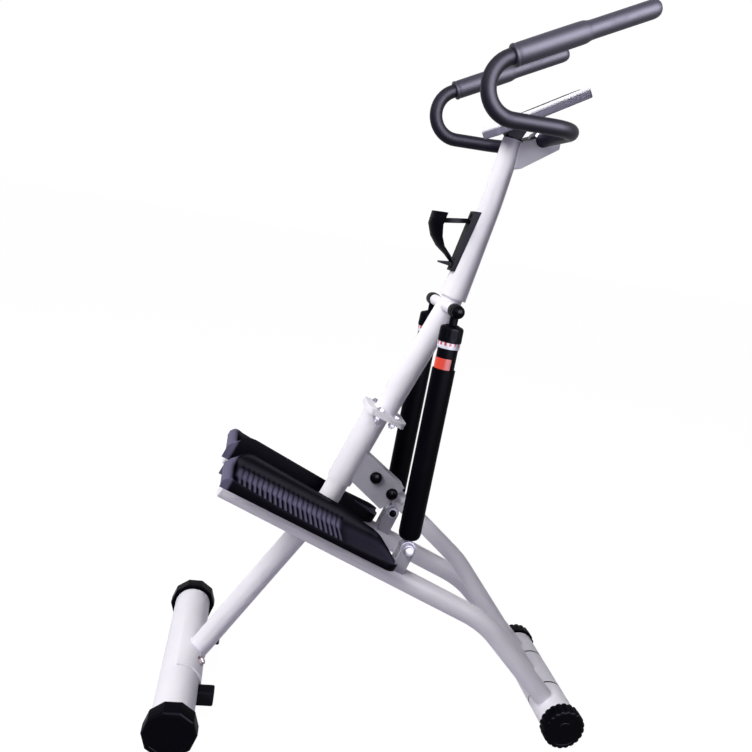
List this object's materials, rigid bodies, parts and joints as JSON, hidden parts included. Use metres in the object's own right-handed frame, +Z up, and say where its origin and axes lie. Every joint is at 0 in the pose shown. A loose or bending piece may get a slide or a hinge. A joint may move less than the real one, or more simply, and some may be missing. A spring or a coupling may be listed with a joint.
{
  "type": "stair stepper",
  "caption": "Free-standing stair stepper with hinged pedals on damper cylinders, a tall bolted post, loop handlebar, small console and bottle cage.",
  "frame": {"origin": "centre of the overall box at floor height", "axes": "+X the way the rider faces, towards the pedal hinges; +Y to the rider's left; +Z up"},
  "size_m": [0.8266, 0.46, 1.3298],
  "materials": {
    "white_powder_coat": "smooth white powder coat over steel tube",
    "grey_white_plate": "light grey painted steel plate",
    "black_plastic": "satin black moulded plastic",
    "black_gloss_plastic": "glossy black moulded plastic",
    "black_rubber": "dull black rubber",
    "black_coated_steel": "black coated steel tube",
    "black_vinyl": "black vinyl foam grip",
    "bright_steel": "bright plated steel",
    "silver_plastic": "silver painted plastic",
    "white_plastic": "white plastic ring with red marks",
    "grey_window": "clear display window",
    "green_board": "green circuit board"
  },
  "bodies": {
    "stand": {"rear_base_tube": "white_powder_coat", "leg_saddle": "white_powder_coat", "rear_leg": "white_powder_coat", "lower_post": "white_powder_coat", "middle_post": "white_powder_coat", "upper_post": "white_powder_coat", "front_leg": "white_powder_coat", "front_centre_tube": "white_powder_coat", "front_bracket": "grey_white_plate", "handlebar_cradle": "grey_white_plate", "rear_cap_left": "black_plastic", "rear_cap_right": "black_plastic", "front_cap_left": "black_plastic", "front_cap_right": "black_plastic", "axle_cap_left": "black_plastic", "axle_cap_right": "black_plastic", "bracket_bolt_upper": "black_plastic", "bracket_bolt_lower": "black_plastic", "bottle_cage": "black_plastic", "console_bracket": "black_plastic", "clamp_bolt": "black_plastic", "rear_bumper_left": "black_rubber", "rear_bumper_right": "black_rubber", "saddle_bolt_left": "bright_steel", "saddle_bolt_right": "bright_steel", "flange_bolt_1": "bright_steel", "flange_bolt_2": "bright_steel", "flange_bolt_3": "bright_steel", "flange_bolt_4": "bright_steel", "cylinder_axle": "bright_steel", "front_axle": "bright_steel", "handlebar_clamp": "bright_steel", "console_base": "silver_plastic", "console_lid": "silver_plastic", "display_window": "grey_window", "circuit_board": "green_board"},
    "mode_button": {"mode_button": "black_plastic"},
    "handlebar": {"handlebar_tube": "black_coated_steel", "grip_left": "black_vinyl", "grip_right": "black_vinyl"},
    "pedal_arm_left": {"pedal_arm_left": "white_powder_coat", "arm_bush_left": "black_plastic", "clevis_left": "grey_white_plate", "clevis_bolt_left": "bright_steel", "pedal_left": "black_gloss_plastic"},
    "cylinder_left": {"cylinder_left": "black_plastic", "scale_ring_left": "white_plastic"},
    "dial_left": {"dial_left": "black_plastic"},
    "rod_left": {"rod_cover_left": "black_plastic", "piston_rod_left": "bright_steel"},
    "pedal_arm_right": {"pedal_arm_right": "white_powder_coat", "arm_bush_right": "black_plastic", "clevis_right": "grey_white_plate", "clevis_bolt_right": "bright_steel", "pedal_right": "black_gloss_plastic"},
    "cylinder_right": {"cylinder_right": "black_plastic", "scale_ring_right": "white_plastic"},
    "dial_right": {"dial_right": "black_plastic"},
    "rod_right": {"rod_cover_right": "black_plastic", "piston_rod_right": "bright_steel"}
  },
  "joints": [
    {"name": "pedal_left", "type": "hinge", "parent": "stand", "child": "pedal_arm_left", "pos_m": [0.37167, 0.0875, 0.04167], "axis": [0, -1, 0], "range_deg": [0, 16], "stiffness_Nm_per_rad": 20, "springref_deg": -57.3},
    {"name": "cylinder_swing_left", "type": "hinge", "parent": "stand", "child": "cylinder_left", "pos_m": [0.02167, 0.0875, 0.803], "axis": [0, 1, 0], "range_deg": [0, 8]},
    {"name": "rod_slide_left", "type": "slide", "parent": "cylinder_left", "child": "rod_left", "axis": [-0.018, 0, -0.9998], "range_m": [0, 0.115]},
    {"name": "dial_left", "type": "hinge", "parent": "cylinder_left", "child": "dial_left", "pos_m": [0.02167, 0.0875, 0.803], "axis": [0.018, 0, 0.9998], "range_deg": [0, 270]},
    {"name": "pedal_right", "type": "hinge", "parent": "stand", "child": "pedal_arm_right", "pos_m": [0.37167, -0.0875, 0.04167], "axis": [0, -1, 0], "range_deg": [0, 16], "stiffness_Nm_per_rad": 20, "springref_deg": -57.3},
    {"name": "cylinder_swing_right", "type": "hinge", "parent": "stand", "child": "cylinder_right", "pos_m": [0.02167, -0.0875, 0.803], "axis": [0, 1, 0], "range_deg": [0, 8]},
    {"name": "rod_slide_right", "type": "slide", "parent": "cylinder_right", "child": "rod_right", "axis": [-0.018, 0, -0.9998], "range_m": [0, 0.115]},
    {"name": "dial_right", "type": "hinge", "parent": "cylinder_right", "child": "dial_right", "pos_m": [0.02167, -0.0875, 0.803], "axis": [0.018, 0, 0.9998], "range_deg": [0, 270]},
    {"name": "handlebar_tilt", "type": "hinge", "parent": "stand", "child": "handlebar", "pos_m": [0.13967, 0, 1.1194], "axis": [0, 1, 0], "range_deg": [-20, 20]},
    {"name": "mode_button_press", "type": "slide", "parent": "stand", "child": "mode_button", "axis": [0.5165, 0, -0.8563], "range_m": [0, 0.0012], "stiffness_N_per_m": 800, "springref_m": -0.001}
  ],
  "couplings": [
    {"joint": "cylinder_swing_left", "follows": "pedal_left", "ratio": 0.48764},
    {"joint": "rod_slide_left", "follows": "pedal_left", "m_per_rad": 0.40903},
    {"joint": "cylinder_swing_right", "follows": "pedal_right", "ratio": 0.48764},
    {"joint": "rod_slide_right", "follows": "pedal_right", "m_per_rad": 0.40903}
  ]
}
